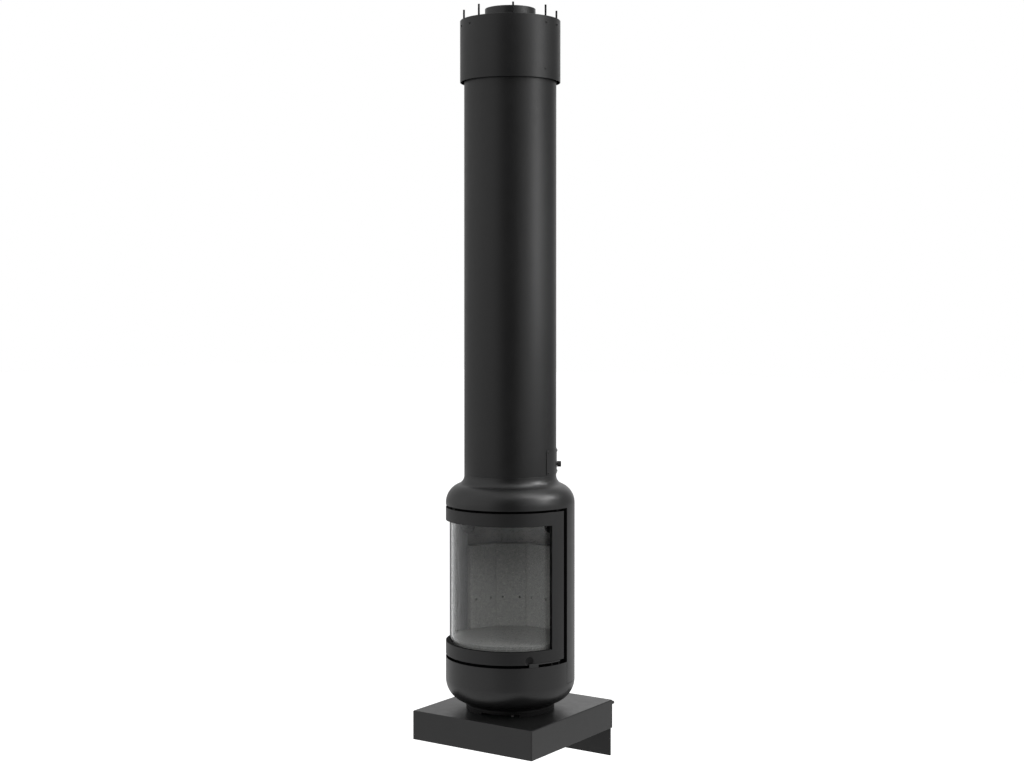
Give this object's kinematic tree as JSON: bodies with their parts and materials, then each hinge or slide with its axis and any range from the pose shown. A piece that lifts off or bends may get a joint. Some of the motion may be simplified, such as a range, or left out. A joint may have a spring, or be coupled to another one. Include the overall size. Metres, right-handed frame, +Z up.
{
  "type": "wall-hung round wood stove with flue tube",
  "caption": "Slim round wood stove on a wall console, with a curved glass door, a tall flue tube with a damper and a ceiling collar with studs.",
  "frame": {"origin": "midway between the two upper wall studs, on the wall face of the wall plate", "axes": "+X to the stove's right, +Y into the wall along the studs, +Z up along the flue"},
  "size_m": [0.419, 0.48, 2.2347],
  "materials": {
    "stove_black": "matt heat-proof paint",
    "door_black": "matt heat-proof paint",
    "bracket_black": "matt paint",
    "zinc_steel": "zinc-plated",
    "heat_steel": "dull dark steel",
    "flue_steel": "matt paint",
    "vermiculite": "pressed board, rough",
    "door_glass": "curved ceramic glass",
    "rope_seal": "woven glass rope",
    "knob_black": "satin"
  },
  "bodies": {
    "stove": {"wall_plate": "bracket_black", "wall_studs": "zinc_steel", "wall_washers": "zinc_steel", "wall_nuts": "zinc_steel", "bracket_arms": "bracket_black", "carrier_plate": "bracket_black", "console_box": "stove_black", "foot_ring": "stove_black", "foot_bolts": "zinc_steel", "foot_nuts": "zinc_steel", "air_pivot": "zinc_steel", "air_duct": "heat_steel", "bottom_bowl": "stove_black", "body_casing": "stove_black", "floor_plate": "bracket_black", "door_jamb_frame": "heat_steel", "firebox_liner": "heat_steel", "firebox_top": "heat_steel", "hearth_stand": "heat_steel", "hearth_slab": "vermiculite", "lining_panel_1": "vermiculite", "lining_panel_2": "vermiculite", "lining_panel_3": "vermiculite", "lining_panel_4": "vermiculite", "lining_panel_5": "vermiculite", "baffle_rail": "heat_steel", "baffle_plate": "vermiculite", "flue_collar": "heat_steel", "flue_pipe": "flue_steel", "flue_spigot": "flue_steel", "tube_sleeve": "heat_steel", "tube_cover": "stove_black", "tube_spacers": "heat_steel", "damper_hatch": "stove_black", "hatch_screws": "stove_black", "ceiling_ring": "bracket_black", "ceiling_studs": "stove_black", "ceiling_collar": "stove_black", "collar_screws": "stove_black", "collar_clamp_screw": "stove_black", "hinge_brackets": "heat_steel", "hinge_pins": "zinc_steel", "catch_keeper": "heat_steel", "door_guides": "knob_black"},
    "door": {"door_frame": "door_black", "door_glass": "door_glass", "glass_tape": "rope_seal", "door_seal": "rope_seal", "glass_clips": "heat_steel", "clip_screws": "zinc_steel", "handle_pin": "zinc_steel", "catch_bracket": "heat_steel"},
    "handle": {"door_handle": "door_black"},
    "roller": {"catch_roller": "zinc_steel"},
    "damper": {"damper_spindle": "zinc_steel", "damper_disc": "heat_steel", "damper_screws": "zinc_steel", "damper_knob": "knob_black"},
    "air_control": {"air_slide": "heat_steel"}
  },
  "joints": [
    {"name": "door_swing", "type": "hinge", "parent": "stove", "child": "door", "pos_m": [-0.18419, -0.25062, 0.3975], "axis": [0, 0, -1], "range_deg": [0, 110]},
    {"name": "handle_turn", "type": "hinge", "parent": "door", "child": "handle", "pos_m": [0.18288, -0.27225, 0.1815], "axis": [0, 0, 1], "range_deg": [0, 25]},
    {"name": "roller_spin", "type": "hinge", "parent": "door", "child": "roller", "pos_m": [0.17499, -0.25193, 0.1985], "axis": [0, 0, 1], "continuous": true},
    {"name": "damper_turn", "type": "hinge", "parent": "stove", "child": "damper", "pos_m": [0, -0.24, 0.73818], "axis": [0.829, 0.5592, 0], "range_deg": [0, 90]},
    {"name": "air_slide_turn", "type": "hinge", "parent": "stove", "child": "air_control", "pos_m": [0, -0.24, 0.022], "axis": [0, 0, 1], "range_deg": [-40, 5]}
  ]
}
